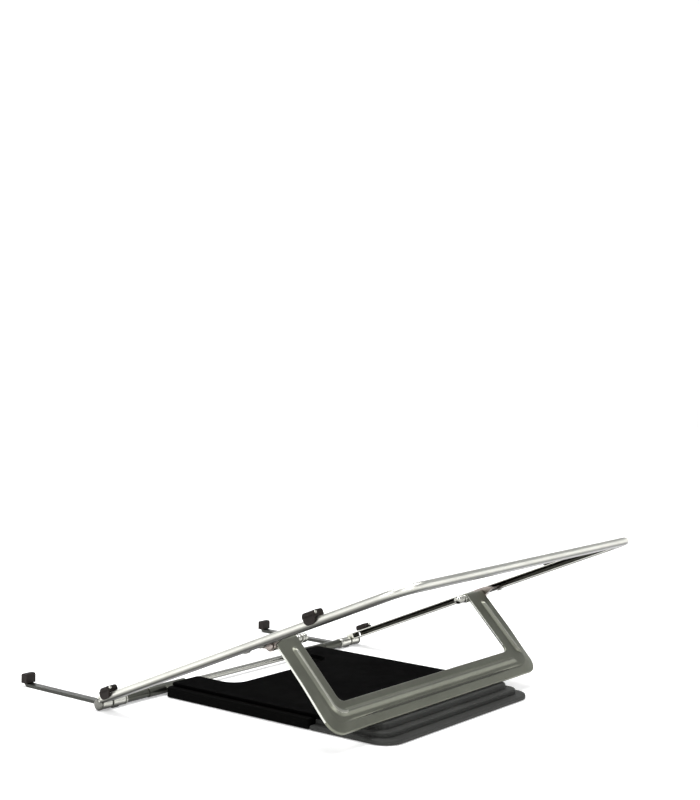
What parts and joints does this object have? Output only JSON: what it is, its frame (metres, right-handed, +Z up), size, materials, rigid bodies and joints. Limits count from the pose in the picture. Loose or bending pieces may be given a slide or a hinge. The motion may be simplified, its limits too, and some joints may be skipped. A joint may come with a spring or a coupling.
{
  "type": "foldable laptop cooling stand",
  "caption": "Folding open-frame laptop cooling stand: flat stepped base, tilting U-shaped rim, pressed swing-out leg and front stop hooks.",
  "frame": {"origin": "on the table, under the middle of the open stand's bounding box", "axes": "+Z up; +Y to the rear, the raised side of the frame; +X to the right of a user who sits at the front"},
  "size_m": [0.2426, 0.2842, 0.0959],
  "materials": {
    "satin_aluminium": "satin anodised",
    "pressed_metal": "satin, slightly darker than the frame",
    "steel": "bright",
    "deck_plastic": "matte black",
    "side_plastic": "matte near-black",
    "step_plastic": "matte dark grey",
    "rubber": "matte brown-black"
  },
  "bodies": {
    "base": {"base_plate": "side_plastic", "rear_step_block": "step_plastic", "top_deck": "deck_plastic", "hinge_bar": "steel", "hinge_leaf_right": "steel", "leaf_screw_inner_right": "steel", "leaf_screw_outer_right": "steel", "base_foot_front_right": "rubber", "base_foot_rear_right": "rubber", "bar_cap_right": "steel", "bar_sleeve_right": "satin_aluminium", "bar_washer_right": "steel", "hinge_leaf_left": "steel", "leaf_screw_inner_left": "steel", "leaf_screw_outer_left": "steel", "base_foot_front_left": "rubber", "base_foot_rear_left": "rubber", "bar_cap_left": "steel", "bar_sleeve_left": "satin_aluminium", "bar_washer_left": "steel"},
    "tray": {"tray_frame": "satin_aluminium", "grip_pad_front_right": "rubber", "grip_pad_rear_right": "rubber", "pivot_bracket_right": "steel", "bracket_rivet_front_right": "steel", "bracket_rivet_rear_right": "steel", "pivot_pin_right": "steel", "friction_washer_1_right": "steel", "friction_washer_2_right": "steel", "friction_washer_3_right": "steel", "dome_nut_right": "steel", "grip_pad_front_left": "rubber", "grip_pad_rear_left": "rubber", "pivot_bracket_left": "steel", "bracket_rivet_front_left": "steel", "bracket_rivet_rear_left": "steel", "pivot_pin_left": "steel", "friction_washer_1_left": "steel", "friction_washer_2_left": "steel", "friction_washer_3_left": "steel", "dome_nut_left": "steel"},
    "bail": {"bail": "pressed_metal"},
    "hook_right": {"front_hook_right": "satin_aluminium", "hook_sleeve_right": "rubber"},
    "hook_left": {"front_hook_left": "satin_aluminium", "hook_sleeve_left": "rubber"}
  },
  "joints": [
    {"name": "tray_tilt", "type": "hinge", "parent": "base", "child": "tray", "pos_m": [0, -0.06674, 0.0035], "axis": [1, 0, 0], "range_deg": [-23, 0]},
    {"name": "bail_fold", "type": "hinge", "parent": "tray", "child": "bail", "pos_m": [0, 0.04417, 0.05036], "axis": [1, 0, 0], "range_deg": [0, 68.2]},
    {"name": "front_hook_right_fold", "type": "hinge", "parent": "base", "child": "hook_right", "pos_m": [0.1047, -0.06674, 0.0035], "axis": [1, 0, 0], "range_deg": [-180, 0]},
    {"name": "front_hook_left_fold", "type": "hinge", "parent": "base", "child": "hook_left", "pos_m": [-0.1047, -0.06674, 0.0035], "axis": [1, 0, 0], "range_deg": [-180, 0]}
  ],
  "couplings": [
    {"joint": "bail_fold", "follows": "tray_tilt", "ratio": -2.9652}
  ]
}
